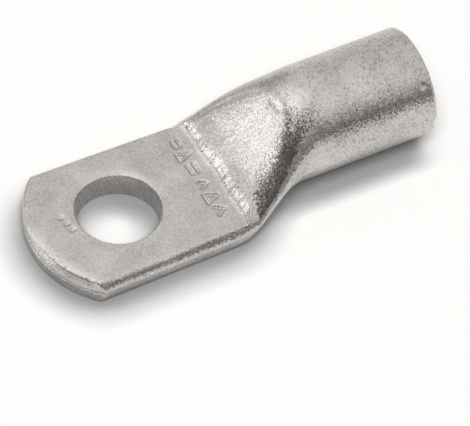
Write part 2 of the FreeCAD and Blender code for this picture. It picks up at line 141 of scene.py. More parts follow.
# The ramp is a little round across, and its bend bows and ripples
RAMP_CURVATURE = 55.0
RAMP_CURVATURE_SPAN = (13.6, 16.0)
BEND_BOW = 0.16
BEND_RIPPLE = 0.07
BEND_RIPPLE_SPAN = (13.6, 14.6)
# Waves of the ripple: radians per millimetre, phase and share
BEND_WAVES = ((1.1, 0.6, 1.0), (2.7, 0.0, 0.6), (6.1, 0.0, 0.4))

# How softly the ramp's borders are rounded: everywhere, how much more on the ramp, and
# where that begins and ends
BORDER_SOFTNESS = 0.1
BORDER_RAMP_SOFTNESS = 0.5
BORDER_SOFT_SPAN = (15.0, 18.0)
BORDER_SHARP_SPAN = (20.5, 24.0)
# How softly the sides turn into the flat underside
GROUND_SOFTNESS = 0.3

# Grid of the mesh
TOP_CELLS = 70
UNDER_CELLS = 24
SIDE_CELLS = 40
CORNER_CELLS = 8
TIP_CELLS = 80
SECTION_SAMPLES = 2401
# Rows down the palm's side: degrees between those on the tip's rims, the levels above the
# seam, the shares of its half height, and the levels below it
RIM_TURN_STEP = 15
UPPER_LEVELS = (2.8, 2.6, 2.35, 2.1, 1.95)
SEAM_SHARES = (1.0, 0.66, 0.33, 0.0, -0.33, -0.66, -1.0)
LOWER_LEVELS = (1.4, 1.2, 1.0, 0.8, 0.62)
# Station where the palm's rows meet the sections of the tube
JOIN = 8.4
# Sections along the tube: from, to and how many
SECTION_RUNS = ((JOIN, 9.4, 5), (9.4, 15.0, 56), (15.0, 18.0, 20), (18.0, 25.0, 30),
                (25.0, 37.9, 32), (37.9, 39.9, 10))
# Where the points of a section change over to an even spacing
EVEN_SPAN = (16.5, 23.5)
UNDER_EVEN_SPAN = (13.5, 19.0)
# Rows from the outline in to the hole, how they crowd towards it, and steps over its rims
HOLE_TOP_ROWS = 30
HOLE_UNDER_ROWS = 9
HOLE_CROWDING = 1.25
HOLE_TOP_STEPS = 6
HOLE_UNDER_STEPS = 3

# Plain marks pressed in a row before the bend. Each shape is drawn by lines of points,
# right and up as seen from the tip, and the reach is the size of 1 in them.
STAMP_STATION = 11.2
STAMP_REACH = 0.95
STAMP_WIDTH = 0.24
STAMP_DEPTH = 0.26
STAMP_SHAPES = {
    "bars": (((-0.75, -0.45), (0.75, -0.45)), ((-0.75, 0.45), (0.75, 0.45))),
    "triangle": (((-0.7, -0.85), (0.7, -0.85), (0.0, 0.85), (-0.7, -0.85)),),
    "chevron": (((-0.7, -0.5), (0.0, 0.6), (0.7, -0.5)),),
}
# Place across the palm, shape and size of each mark
STAMP_ROW = ((6.3, "bars", 0.8), (4.2, "triangle", 1.0), (1.9, "bars", 1.0), (-0.9, "chevron", 0.8),
             (-3.2, "triangle", 1.0), (-5.4, "chevron", 1.0))

# Dots beside the hole
DOT_PLACES = ((-7.0, 1.9), (-6.75, 0.75), (-6.5, -0.4))
DOT_LENGTH = 0.05
DOT_WIDTH = 0.36
DOT_DEPTH = 0.3

# Dents and scratches: points of the stroke, half width and depth
WEAR_STROKES = (
    # slash across the top of the ramp, and the ridge it threw up
    (((21.05, 1.0, 12.2), (21.2, 0.0, 12.4), (21.1, -0.95, 12.3)), 0.22, 0.17),
    (((21.5, 0.8, 12.6), (21.65, 0.0, 12.8), (21.5, -0.8, 12.6)), 0.2, -0.05),
    # small arc on the crown
    (((23.85, -0.7, 14.1), (24.3, -1.5, 14.0), (24.15, -2.4, 13.75)), 0.17, 0.07),
    # crease low on the near side of the neck
    (((20.7, -7.5, 6.9), (21.5, -7.35, 7.0), (22.3, -7.1, 6.9)), 0.25, 0.16),
    # pit near the mouth, and the nick in the mouth's edge
    (((39.1, -5.05, 12.1), (39.2, -5.1, 12.05)), 0.3, 0.16),
    (((39.9, -6.95, 7.7), (40.45, -6.8, 5.9)), 0.35, 0.2),
)

# Bead that the pressing left along the near border of the ramp, and groove along the far one
BEAD_WIDTH = 0.17
BEAD_HEIGHT = 0.07
BEAD_STATIONS = np.arange(12.9, 15.9, 0.25)
GROOVE_WIDTH = 0.22
GROOVE_DEPTH = 0.07
GROOVE_STATIONS = np.arange(14.0, 20.6, 0.3)

# The palm's top is rolled over along the near half of the tip and the far half of the hole:
# how far in from the edge, how deep, and the bearings in degrees between which it begins
# and ends. The tip's are taken from its middle towards the near side, and the hole's from
# the X axis towards the far side.
TIP_ROLL = {"reach": 2.1, "drop": 0.52, "begins": (-15.0, 15.0), "ends": (40.0, 52.0)}
HOLE_ROLL = {"reach": 1.5, "drop": 0.36, "begins": (-25.0, 20.0), "ends": (120.0, 165.0)}
# Levels over which the side below the rolled top takes up the drop
ROLL_LEVELS = (1.9, 3.2)

# Slow unevenness of the pressed metal, which fades out where it stands on the floor
UNEVEN_DEPTH = 0.03
UNEVEN_LEVELS = (0.0, 0.6)
UNEVEN_WAVES = 24
UNEVEN_SEED = 5
UNEVEN_SHORTEST = 3.0
UNEVEN_LONGEST = 8.0
# Divisor that brings the sum of the waves to about a half to either side of 0
UNEVEN_SPREAD = 12.0

# Tin plating, with scales in cells to the metre. A tumbled grain leans the surface this
# way and that, and mixes with clouds into the tone between dark and light tin.
GRAIN_SCALE = 4300.0
GRAIN_MEAN = (0.5, 0.5, 0.5)
GRAIN_LEAN = 0.78
GRAIN_ROUGHNESS = (0.20, 0.40)
GRAIN_SHARE = 0.65
CLOUD_SCALE = 260.0
TONE_SPAN = (0.36, 0.64)
DARK_TIN = (0.415, 0.396, 0.384, 1.0)
LIGHT_TIN = (0.715, 0.683, 0.662, 1.0)
# Small dark pits: how far from a cell's middle one is full and where it ends, and its tone
PIT_SCALE = 1300.0
PIT_SPAN = (0.08, 0.26)
PIT_TONE = 0.78
# Short scores, in cells drawn out across the tube: how far from a cell's middle one is full
# and where it ends, how much it darkens, and the share of the cells without one
SCORE_SCALE = 3600.0
SCORE_STRETCH = (1.0, 0.42, 0.42)
SCORE_SPAN = (0.16, 0.44)
SCORE_DEPTH = 0.44
SCORE_FREE_SHARE = 0.5
# Stations, in metres, between which the scores set in
SCORE_STATIONS = (0.021, 0.027)

# Floor, in metres
FLOOR_SIZE = 6.0
FLOOR_DROP = 0.00002
FLOOR_COLOUR = (0.925, 0.917, 0.902, 1.0)
FLOOR_ROUGHNESS = 0.9
# Painted shadow: short and soft, the floor's colour turned darker beside the object, on the
# side it hides from one direction of the sky: how far it reaches in metres, where that
# direction points, and the openness towards it at which the painted shadow is full and where it ends
SHADOW_COLOUR = (0.32, 0.322, 0.325, 1.0)
SHADOW_REACH = 0.0046
SHADOW_SAMPLES = 8
SHADOW_AZIMUTH = 48.0
SHADOW_ELEVATION = 50.0
SHADOW_SPAN = (0.5, 0.93)

# Level of the studio that the metal reflects, and its soft boxes and flags: azimuth and
# elevation of the middle, how far it reaches to each side in degrees, and how much
# light it adds or takes away
STUDIO_LEVEL = 0.75
STUDIO_DARKEST = 0.03
STUDIO_COLOUR = (1.0, 0.995, 0.985, 1.0)
STUDIO = (
    (40.0, 64.0, 40.0, 0.13),
    (125.0, 52.0, 34.0, 0.34),
    (154.0, 9.0, 17.0, 2.2),
    (100.0, 8.0, 28.0, -0.35),
    (160.0, 72.0, 28.0, 0.62),
    (-178.0, 28.0, 27.0, -1.05),
    (-126.0, 38.0, 38.0, -0.78),
    (-70.0, 4.0, 34.0, -0.72),
    (-45.0, 58.0, 26.0, 0.27),
)
# Level of the sky that lights the floor
OPEN_LEVEL = 0.25
# Broad lamp for the floor and the shadow
KEY_STRENGTH = 2.95
KEY_ANGLE = 28.0
KEY_AZIMUTH = -119.0
KEY_ELEVATION = 60.0

# Camera at the photo's place, in metres and degrees
CAMERA_SENSOR = 36.0
CAMERA_LENS = 323.68
CAMERA_PLACE = (-0.158694, -0.288951, 0.398204)
CAMERA_TURN = (39.82623, -2.66778, -28.04665)
CAMERA_CLIP = (0.01, 50.0)


def eased(share):
    """Rise from 0 to 1 that is level at both ends."""
    share = np.clip(share, 0.0, 1.0)
    return share * share * (3 - 2 * share)


def ramp_up(value, span):
    """Eased step from 0 at the start of the span to 1 at its end."""
    start, end = span
    return eased((value - start) / (end - start))


def bump(share):
    """Rise from 0 to 1 in the middle and back to 0."""
    return 16 * share ** 2 * (1 - share) ** 2


def bell(count):
    """Weights of a smooth average over an odd number of values."""
    weights = np.hanning(count + 2)[1:-1]
    return weights / weights.sum()


def soft_min(first, second, width):
    """Smaller of two heights, rounded over where they cross."""
    gap = np.clip(width - np.abs(first - second), 0.0, None)
    return np.minimum(first, second) - gap * gap / (4 * width)


def soft_max(first, second, width):
    """Larger of two heights, rounded over where they cross."""
    return -soft_min(-first, -second, width)


def quarter_round(radius, past):
    """How far a rounding of this radius stands in, this far past its start."""
    past = np.clip(past, 0, radius)
    return radius - np.sqrt(radius ** 2 - past ** 2)


def running_length(curve):
    """Length along a row of points, from its start to each of them."""
    steps = np.hypot(*np.diff(curve, axis=0).T)
    return np.concatenate([[0.0], np.cumsum(steps)])


def side_levels():
    """Heights down the palm's side, close together at its rims and at the seam."""
    turn = np.radians(np.arange(0, 91, RIM_TURN_STEP))
    top = PALM_THICKNESS - TIP_RIM * (1 - np.cos(turn))
    seam = SEAM_LEVEL + SEAM_HALF_HEIGHT * np.array(SEAM_SHARES)
    under = TIP_RIM * (1 - np.sin(turn))
    return np.concatenate([top, UPPER_LEVELS, seam, LOWER_LEVELS, under])


LEVELS = side_levels()
SIDE_ROWS = len(LEVELS) - 1
HALF_CELLS = TOP_CELLS + SIDE_ROWS + UNDER_CELLS


def side_inset(level, station):
    """How far the folded long side stands in; towards the bend its top edge is crisper."""
    bevel = soft_max(0.0, (level - SIDE_BEVEL_LEVEL) * SIDE_BEVEL_LEAN, SIDE_BEVEL_SOFTNESS)
    rim = SIDE_RIM * (1 - SIDE_CRISP_SHARE * ramp_up(station, SIDE_CRISP_SPAN))
    top = quarter_round(rim, level - (PALM_THICKNESS - rim))
    under = quarter_round(UNDER_ROUNDING, UNDER_ROUNDING - level)
    return bevel + top + under


def tip_inset(level):
    """How far the cut tip stands in: rolled rims, and the notch between the walls."""
    top = quarter_round(TIP_RIM, level - (PALM_THICKNESS - TIP_RIM))
    under = quarter_round(TIP_RIM, TIP_RIM - level)
    notch = np.clip(1 - np.abs(level - SEAM_LEVEL) / SEAM_HALF_HEIGHT, 0, 1)
    return top + under + SEAM_DEPTH * notch ** SEAM_SHARPNESS


def palm_half(station):
    """Half width of the palm at its widest line."""
    share = (station - PALM_TIP_STATION) / (PALM_ROOT_STATION - PALM_TIP_STATION)
    return PALM_TIP_HALF + (PALM_ROOT_HALF - PALM_TIP_HALF) * share


def arc(centre, radius, start, end, count):
    """Points of an arc after its first one."""
    turns = np.linspace(start, end, count + 1)[1:]
    return [(centre[0] + radius * math.cos(turn), centre[1] + radius * math.sin(turn)) for turn in turns]


def palm_outline(level):
    """Far half of the palm's outline at one height, from the join round to the tip's middle."""
    slope = (PALM_ROOT_HALF - PALM_TIP_HALF) / (PALM_ROOT_STATION - PALM_TIP_STATION)
    lean = math.hypot(1.0, slope)
    inset = side_inset(level, PALM_TIP_STATION)
    radius = TIP_RADIUS - tip_inset(level)
    # centre of the corner's rounding, found by halving: it lies inside the side's line by
    # the rounding, and inside the tip's circle by as much
    reach = radius - CORNER_ROUNDING
    low, high = TIP_CENTRE - reach, TIP_CENTRE
    for _ in range(CORNER_HALVINGS):
        middle = (low + high) / 2
        offset = palm_half(middle) - inset - CORNER_ROUNDING * lean
        if math.hypot(middle - TIP_CENTRE, offset) > reach:
            low = middle
        else:
            high = middle
    corner_x = (low + high) / 2
    corner_y = palm_half(corner_x) - inset - CORNER_ROUNDING * lean
    side_turn = math.atan2(1.0, -slope)
    tip_turn = math.atan2(corner_y, corner_x - TIP_CENTRE)
    side_end = corner_x + CORNER_ROUNDING * math.cos(side_turn)
    side_stations = np.linspace(JOIN, side_end, SIDE_CELLS + 1)
    points = [(x, palm_half(x) - side_inset(level, x)) for x in side_stations]
    points += arc((corner_x, corner_y), CORNER_ROUNDING, side_turn, tip_turn, CORNER_CELLS)
    points += arc((TIP_CENTRE, 0.0), radius, tip_turn, math.pi, TIP_CELLS // 2)
    return np.array(points)


def full_outline(level):
    """Outline at one height, from the far side of the join round the tip to the near side."""
    far = palm_outline(level)
    near = far[-2::-1] * np.array([1.0, -1.0])
    return np.concatenate([far, near])


def slab_ring(station):
    """Half section of the flat palm, from the middle of its top round to its underside's."""
    side = np.stack([palm_half(station) - side_inset(LEVELS, station), LEVELS], axis=1)
    top_y = np.linspace(0, side[0, 0], TOP_CELLS + 1)[:-1]
    under_y = np.linspace(side[-1, 0], 0, UNDER_CELLS + 1)[1:]
    top = np.stack([top_y, np.full_like(top_y, PALM_THICKNESS)], axis=1)
    under = np.stack([under_y, np.zeros_like(under_y)], axis=1)
    return np.concatenate([top, side, under])


def ramp_profile():
    """Stations along the pressed ramp, and its heights there from its slope."""
    grid = np.linspace(RAMP_START, RAMP_END, RAMP_STEPS + 1)
    slope = np.radians(np.interp(grid, *zip(*RAMP_TURNS)))
    slope = np.convolve(np.pad(slope, RAMP_SMOOTHING // 2, "edge"), bell(RAMP_SMOOTHING), "valid")
    rise = np.tan((slope[1:] + slope[:-1]) / 2) * np.diff(grid)
    return grid, PALM_THICKNESS + np.concatenate([[0.0], np.cumsum(rise)])


RAMP_GRID, RAMP_HEIGHT = ramp_profile()


def ramp_height(station, across):
    """Height of the pressed surface; its bend bows towards the barrel in the middle."""
    bow = BEND_BOW * (1 - (across / PALM_ROOT_HALF) ** 2)
    ripple = sum(share * np.sin(rate * across + phase) for rate, phase, share in BEND_WAVES)
    bow = bow + BEND_RIPPLE * ripple * (1 - ramp_up(station, BEND_RIPPLE_SPAN))
    sag = across ** 2 / (2 * RAMP_CURVATURE) * ramp_up(station, RAMP_CURVATURE_SPAN)
    return np.interp(station - bow, RAMP_GRID, RAMP_HEIGHT) - sag


def crown_height(station):
    """Height of the free crown line, a smooth curve through its turns."""
    knots, heights = (np.array(column) for column in zip(*CROWN_TURNS))
    if station >= knots[-1]:
        return BARREL_CROWN
    nearby = np.linspace(station - CROWN_SMOOTHING, station + CROWN_SMOOTHING, CROWN_SAMPLES)
    return float(np.sum(np.interp(nearby, knots, heights) * bell(CROWN_SAMPLES)))


def shoulder_fullness(station, far):
    """Fullness of the far or the near shoulder at a station along the fold."""
    if far:
        fullness = FAR_FULLNESS * ramp_up(station, FAR_FULLNESS_SPAN)
    else:
        change = NEAR_FULLNESS - NEAR_CORNER_FULLNESS
        fullness = NEAR_CORNER_FULLNESS + change * ramp_up(station, NEAR_FULLNESS_SPAN)
    return fullness * (1 - ramp_up(station, FULLNESS_END_SPAN))


def free_curve(station, far):
    """Half section of the tube before the tool flattens its top and the ground its underside."""
    share = np.clip((station - FOLD_START) / (FOLD_END - FOLD_START), 0, 1)
    rise = eased(share)
    half = FOLD_HALF + (TUBE_RADIUS - FOLD_HALF) * rise
    level = FOLD_LEVEL + (BARREL_LEVEL - FOLD_LEVEL) * rise + SHOULDER_LIFT * bump(share)
    belly = FOLD_BELLY + (BARREL_BELLY - FOLD_BELLY) * rise + NECK_LIFT * bump(share)
    crown = crown_height(station)
    turn = np.linspace(math.pi / 2, -math.pi / 2, SECTION_SAMPLES)
    # an exponent of 1 is an ellipse, and a smaller one is fuller
    exponent = 2.0 / (2.0 + shoulder_fullness(station, far))
    upper = turn > 0
    across = half * np.where(upper, np.abs(np.cos(turn)) ** exponent, np.cos(turn))
    raw = np.where(upper, level + (crown - level) * np.abs(np.sin(turn)) ** exponent,
                   level + (level - belly) * np.sin(turn))
    return turn, across, raw


def pressed_border(station, far):
    """Point of the half section where the pressed flat of the top ends."""
    _, across, raw = free_curve(station, far)
    last = np.nonzero(raw > ramp_height(station, across))[0][-1]
    return across[last], raw[last]


def point_shares(station, top_share, under_share):
    """Places of a section's points along it, given where the flats of its top and underside end."""
    even = ramp_up(station, EVEN_SPAN)
    top_even = TOP_CELLS / HALF_CELLS
    under_even = (TOP_CELLS + SIDE_ROWS) / HALF_CELLS
    top_share = top_share + (top_even - top_share) * even
    under_share = under_share + (under_even - under_share) * ramp_up(station, UNDER_EVEN_SPAN)
    # between the flats they are spaced as on the palm's side, and evenly on the barrel
    side_run = running_length(slab_ring(JOIN)[TOP_CELLS:TOP_CELLS + SIDE_ROWS + 1])
    side_run /= side_run[-1]
    side_run = side_run + (np.linspace(0, 1, SIDE_ROWS + 1) - side_run) * even
    return np.concatenate([
        np.linspace(0, top_share, TOP_CELLS + 1)[:-1],
        top_share + (under_share - top_share) * side_run,
        np.linspace(under_share, 1, UNDER_CELLS + 1)[1:]])


def fold_ring(station, far=True):
    """Half section of the folded tube and of the barrel."""
    turn, across, raw = free_curve(station, far)
    ramp = ramp_height(station, across)
    on_ramp = ramp_up(station, BORDER_SOFT_SPAN) * (1 - ramp_up(station, BORDER_SHARP_SPAN))
    height = soft_min(raw, ramp, BORDER_SOFTNESS + BORDER_RAMP_SOFTNESS * on_ramp)
    height = soft_max(height, 0.0, GROUND_SOFTNESS)
    # past the fold the barrel keeps its whole round section
    if station > FOLD_END:
        height = np.maximum(height, raw)
    run = running_length(np.stack([across, height], axis=1))
    run /= run[-1]
    pressed = np.nonzero(raw > ramp)[0]
    grounded = np.nonzero((raw < 0) & (turn < 0))[0]
    top_share = run[pressed[-1]] if len(pressed) else 0.0
    under_share = run[grounded[0]] if len(grounded) else 1.0
    shares = point_shares(station, top_share, under_share)
    return np.stack([np.interp(shares, run, across), np.interp(shares, run, height)], axis=1)


def outer_half(station, far):
    """Half section of the outside at any station from the join to the mouth."""
    to_fold = ramp_up(station, FOLD_BLEND_SPAN)
    if to_fold == 0:
        return slab_ring(station)
    if to_fold == 1:
        return fold_ring(station, far)
    return slab_ring(station) * (1 - to_fold) + fold_ring(station, far) * to_fold


def inner_half(station):
    """Half section of the space inside the fold."""
    share = np.clip((station - SLIT_START) / (FOLD_END - SLIT_START), 0, 1)
    rise = eased(share)
    half = SLIT_HALF + (BORE_RADIUS - SLIT_HALF) * rise
    top = SLIT_TOP + (BARREL_LEVEL + BORE_RADIUS - SLIT_TOP) * share
    under = SLIT_UNDER + (BARREL_LEVEL - BORE_RADIUS - SLIT_UNDER) * rise + CAVITY_LIFT * bump(share)
    turn = np.linspace(math.pi / 2, -math.pi / 2, HALF_CELLS + 1)
    return np.stack([half * np.cos(turn), (top + under) / 2 + (top - under) / 2 * np.sin(turn)], axis=1)


def round_half(barrel_half, radius):
    """Half section of the barrel brought to another radius."""
    middle = np.array([0.0, BARREL_LEVEL])
    return middle + (barrel_half - middle) * (radius / TUBE_RADIUS)


def close_ring(far_half, near_half, station):
    """Whole ring in space from the half sections of its far and its near side."""
    near = near_half[-2:0:-1] * np.array([-1.0, 1.0])
    ring = np.concatenate([far_half, near])
    return np.column_stack([np.full(len(ring), station), ring])


def stations():
    """Stations along the tube, close together at the bend."""
    runs = [np.linspace(start, end, count + 1)[:-1] for start, end, count in SECTION_RUNS]
    last_end = SECTION_RUNS[-1][1]
    return np.append(np.concatenate(runs), last_end)


class Grid:
    """Collects points and faces."""

    def __init__(self):
        self.points = []
        self.faces = []

    def add(self, points):
        """Stores a row of points and gives their numbers."""
        start = len(self.points)
        self.points.extend(map(tuple, points))
        return list(range(start, start + len(points)))

    def add_flat(self, places, level):
        """Stores a row of points of one height."""
        return self.add(np.column_stack([places, np.full(len(places), level)]))

    def strip(self, first, second, closed):
        """Faces between two rows of the same length."""
        count = len(first)
        for index in range(count if closed else count - 1):
            following = (index + 1) % count
            self.faces.append((first[index], first[following], second[following], second[index]))


def tube_rings(grid):
    """Rings along the outside from the join to the mouth and back in to the end of the slit."""
    rings = [close_ring(outer_half(x, True), outer_half(x, False), x) for x in stations()]
    barrel_half = fold_ring(BARREL_STATION)
    for step in range(1, LIP_STEPS + 1):
        turn = math.pi / 2 * step / LIP_STEPS
        half = round_half(barrel_half, TUBE_RADIUS - MOUTH_LIP * (1 - math.cos(turn)))
        rings.append(close_ring(half, half, MOUTH - MOUTH_LIP + MOUTH_LIP * math.sin(turn)))
    for radius, depth in MOUTH_RINGS:
        half = round_half(barrel_half, radius)
        rings.append(close_ring(half, half, MOUTH - depth))
    bore_half = round_half(barrel_half, BORE_RADIUS)
    even_half = inner_half(FOLD_END)
    for x in BORE_STATIONS:
        even = ramp_up(x, BORE_EVEN_SPAN)
        half = bore_half * (1 - even) + even_half * even
        rings.append(close_ring(half, half, x))
    for x in np.linspace(FOLD_END, SLIT_START, CAVITY_RINGS):
        half = inner_half(x)
        rings.append(close_ring(half, half, x))
    return [grid.add(ring) for ring in rings]


def close_slit(grid, ring):
    """Faces across the last ring of the slit, from its far to its near half."""
    for index in range(HALF_CELLS):
        left, right = ring[index], ring[index + 1]
        near_left, near_right = ring[-index], ring[-index - 1]
        if index == 0:
            grid.faces.append((left, right, near_right))
        elif index == HALF_CELLS - 1:
            grid.faces.append((left, right, near_left))
        else:
            grid.faces.append((left, right, near_right, near_left))


def palm_edge(grid, join):
    """Rows round the palm's edge, from the far end of the join to the near one."""
    band = []
    for row, level in enumerate(LEVELS):
        inner = grid.add_flat(full_outline(level)[1:-1], level)
        band.append([join[TOP_CELLS + row]] + inner + [join[-(TOP_CELLS + row)]])
    for first, second in zip(band[:-1], band[1:]):
        grid.strip(second, first, False)
    return band


def hole_rows(grid, edge, upper):
    """Rows from the outline in to the rim of the hole and over it to its wall."""
    if upper:
        rim, level, side = HOLE_RIM, PALM_THICKNESS, -1
        count, steps = HOLE_TOP_ROWS, HOLE_TOP_STEPS
    else:
        rim, level, side = HOLE_UNDER_RIM, 0.0, 1
        count, steps = HOLE_UNDER_ROWS, HOLE_UNDER_STEPS
    outer = np.array([grid.points[number][:2] for number in edge])
    angle = np.arctan2(outer[:, 1], outer[:, 0])
    around = np.stack([np.cos(angle), np.sin(angle)], axis=1)
    rows = [edge]
    for share in np.linspace(1, 0, count + 1)[1:] ** HOLE_CROWDING:
        rows.append(grid.add_flat(around * (HOLE_RADIUS + rim) * (1 - share) + outer * share, level))
    for step in range(1, steps + 1):
        turn = math.pi / 2 * step / steps
        radius = HOLE_RADIUS + rim - rim * math.sin(turn)
        rows.append(grid.add_flat(around * radius, level + side * rim * (1 - math.cos(turn))))
    for first, second in zip(rows[:-1], rows[1:]):
        if upper:
            grid.strip(first, second, True)
        else:
            grid.strip(second, first, True)
    return rows[-1]


def bearings(grid, row):
    """Angle of each point of a closed row round the hole, growing all the way."""
    return np.unwrap([math.atan2(grid.points[number][1], grid.points[number][0]) for number in row])


def stitch(grid, upper, under):
    """Wall of the hole between two rows with different numbers of points."""
    upper_angle = bearings(grid, upper)
    under_angle = bearings(grid, under)

    def angle_of(angles, index):
        return angles[index % len(angles)] + 2 * math.pi * (index // len(angles))

    first, second = 0, 0
    while first < len(upper) or second < len(under):
        step_upper = first < len(upper)
        if step_upper and second < len(under):
            step_upper = angle_of(upper_angle, first + 1) < angle_of(under_angle, second + 1)
        start = upper[first % len(upper)]
        other = under[second % len(under)]
        if step_upper:
            grid.faces.append((start, upper[(first + 1) % len(upper)], other))
            first += 1
        else:
            grid.faces.append((start, under[(second + 1) % len(under)], other))
            second += 1


def build_grid():
    """The whole lug as one closed grid."""
    grid = Grid()
    rings = tube_rings(grid)
    for first, second in zip(rings[:-1], rings[1:]):
        grid.strip(first, second, True)
    close_slit(grid, rings[-1])

    # the palm's edge ends at the near side, and the join leads back from there to the far side
    join = rings[0]
    band = palm_edge(grid, join)
    top_join = join[1 - TOP_CELLS:] + join[:TOP_CELLS]
    under_join = join[HALF_CELLS + UNDER_CELLS - 1:HALF_CELLS - UNDER_CELLS:-1]
    wall_top = hole_rows(grid, band[0] + top_join, True)
    wall_under = hole_rows(grid, band[-1] + under_join, False)
    stitch(grid, wall_top, wall_under)
    return grid


def stamp_strokes():
    """Strokes of the marks before the bend and of the dots beside the hole."""
    strokes = []
    for across, shape, size in STAMP_ROW:
        reach = STAMP_REACH * size
        for line in STAMP_SHAPES[shape]:
            points = [(STAMP_STATION + reach * up, across - reach * right, PALM_THICKNESS)
                      for right, up in line]
            strokes.append((points, STAMP_WIDTH, STAMP_DEPTH))
    for x, y in DOT_PLACES:
        points = [(x, y, PALM_THICKNESS), (x + DOT_LENGTH, y, PALM_THICKNESS)]
        strokes.append((points, DOT_WIDTH, DOT_DEPTH))
    return strokes


def border_strokes():
    """Strokes along both borders of the pressed ramp."""
    near = []
    for station in BEAD_STATIONS:
        across, height = pressed_border(station, False)
        near.append((station, -across, height))
    far = [(station, *pressed_border(station, True)) for station in GROOVE_STATIONS]
    return [(near, BEAD_WIDTH, -BEAD_HEIGHT), (far, GROOVE_WIDTH, GROOVE_DEPTH)]


def stroke_press(points, stroke, width, depth):
    """How deep each point is pressed in by one stroke."""
    nearest = np.full(len(points), np.inf)
    for start, end in zip(stroke[:-1], stroke[1:]):
        start, along = np.array(start), np.array(end) - np.array(start)
        share = np.clip((points - start) @ along / (along @ along), 0, 1)
        nearest = np.minimum(nearest, np.linalg.norm(points - start - share[:, None] * along, axis=1))
    return depth * np.exp(-(nearest / width) ** 2)


def unevenness(points):
    """Slow waves between 0 and 1 over the whole surface."""
    chance = np.random.default_rng(UNEVEN_SEED)
    total = np.zeros(len(points))
    for _ in range(UNEVEN_WAVES):
        heading = chance.normal(size=3)
        heading /= np.linalg.norm(heading)
        length = chance.uniform(UNEVEN_SHORTEST, UNEVEN_LONGEST)
        phase = chance.uniform(0, 2 * math.pi)
        wave = np.sin(2 * math.pi * points @ heading / length + phase)
        total += wave * length / UNEVEN_LONGEST
    return np.clip(0.5 + total / UNEVEN_SPREAD, 0, 1)


def roll_over(points, away, bearing, reach, drop, begins, ends):
    """Gentle drop of the palm's top towards an edge, over some of the way along it."""
    part = ramp_up(bearing, begins) * (1 - ramp_up(bearing, ends))
    share = np.clip(1 - away / reach, 0, 1)
    return drop * part * share ** 2 * ramp_up(points[:, 2], ROLL_LEVELS)


def tip_roll(points):
    """Drop of the palm's top towards the near half of its cut tip."""
    out_x, out_y = points[:, 0] - TIP_CENTRE, points[:, 1]
    inside = TIP_RADIUS - np.hypot(out_x, out_y)
    bearing = np.degrees(np.arctan2(-out_y, -out_x))
    return roll_over(points, inside, bearing, **TIP_ROLL)


def hole_roll(points):
    """Drop of the palm's top towards the far half of the stud hole."""
    outside = np.hypot(points[:, 0], points[:, 1]) - HOLE_RADIUS
    bearing = np.degrees(np.arctan2(points[:, 1], points[:, 0]))
    return roll_over(points, outside, bearing, **HOLE_ROLL)


def press_depth(points):
    """How far each point of the skin goes in along its normal."""
    depth = UNEVEN_DEPTH * unevenness(points) * ramp_up(points[:, 2], UNEVEN_LEVELS)
    depth = depth + tip_roll(points) + hole_roll(points)
    for stroke, width, deep in stamp_strokes() + border_strokes() + list(WEAR_STROKES):
        depth = depth + stroke_press(points, stroke, width, deep)
    return depth


def make_lug():
    """Mesh object of the lug, in metres."""
    grid = build_grid()
    points = np.array(grid.points)
    mesh = bpy.data.meshes.new("lug_skin")
    mesh.from_pydata(points.tolist(), [], grid.faces)
    work = bmesh.new()
    work.from_mesh(mesh)
    bmesh.ops.recalc_face_normals(work, faces=work.faces)
    work.to_mesh(mesh)
    work.free()
    outward = np.zeros(points.size)
    mesh.vertices.foreach_get("normal", outward)
    points -= outward.reshape(-1, 3) * press_depth(points)[:, None]
    mesh.vertices.foreach_set("co", (points * MM).ravel())
    mesh.polygons.foreach_set("use_smooth", [True] * len(mesh.polygons))
    mesh.update()
    lug = bpy.data.objects.new("lug_skin", mesh)
    bpy.context.collection.objects.link(lug)
    return lug


def feed(tree, socket, term):
    """Gives a socket a value, or links an output to it."""
    if isinstance(term, bpy.types.NodeSocket):
        tree.links.new(term, socket)
    else:
        socket.default_value = term


def node(tree, kind, **settings):
    """New node; a setting named after a socket feeds that socket, and any other sets the node."""
    made = tree.nodes.new(kind)
    for name, setting in settings.items():
        if name in made.inputs:
            feed(tree, made.inputs[name], setting)
        else:
            setattr(made, name, setting)
    return made


def map_range(tree, value, source, target=(0.0, 1.0), **settings):
    """Output of a node that maps a value from one range to another and stays inside it."""
    made = node(tree, "ShaderNodeMapRange", Value=value, **settings)
    for name, limit in zip(("From Min", "From Max", "To Min", "To Max"), (*source, *target)):
        made.inputs[name].default_value = limit
    return made.outputs["Result"]


def combine(tree, kind, operation, *terms, **settings):
    """New math or vector math node, whose terms are values or outputs."""
    made = node(tree, kind, operation=operation, **settings)
    for socket, term in zip(made.inputs, terms):
        feed(tree, socket, term)
    return made


def math_result(tree, operation, *terms):
    """Output of a new math node."""
    return combine(tree, "ShaderNodeMath", operation, *terms).outputs["Value"]


def vector_result(tree, operation, *terms, **settings):
    """Output of a new vector math node."""
    return combine(tree, "ShaderNodeVectorMath", operation, *terms, **settings).outputs["Vector"]


def new_material(name):
    """New material, with its node tree and its shader."""
    material = bpy.data.materials.new(name)
    material.use_nodes = True
    tree = material.node_tree
    return material, tree, tree.nodes["Principled BSDF"]


def leaning_normal(tree, grain):
    """Normal for grains that each lean their own way and catch the light on their own."""
    centred = vector_result(tree, "SUBTRACT", grain.outputs["Color"], GRAIN_MEAN)
    lean = vector_result(tree, "SCALE", centred, Scale=GRAIN_LEAN)
    facing = node(tree, "ShaderNodeNewGeometry").outputs["Normal"]
    return vector_result(tree, "NORMALIZE", vector_result(tree, "ADD", facing, lean))


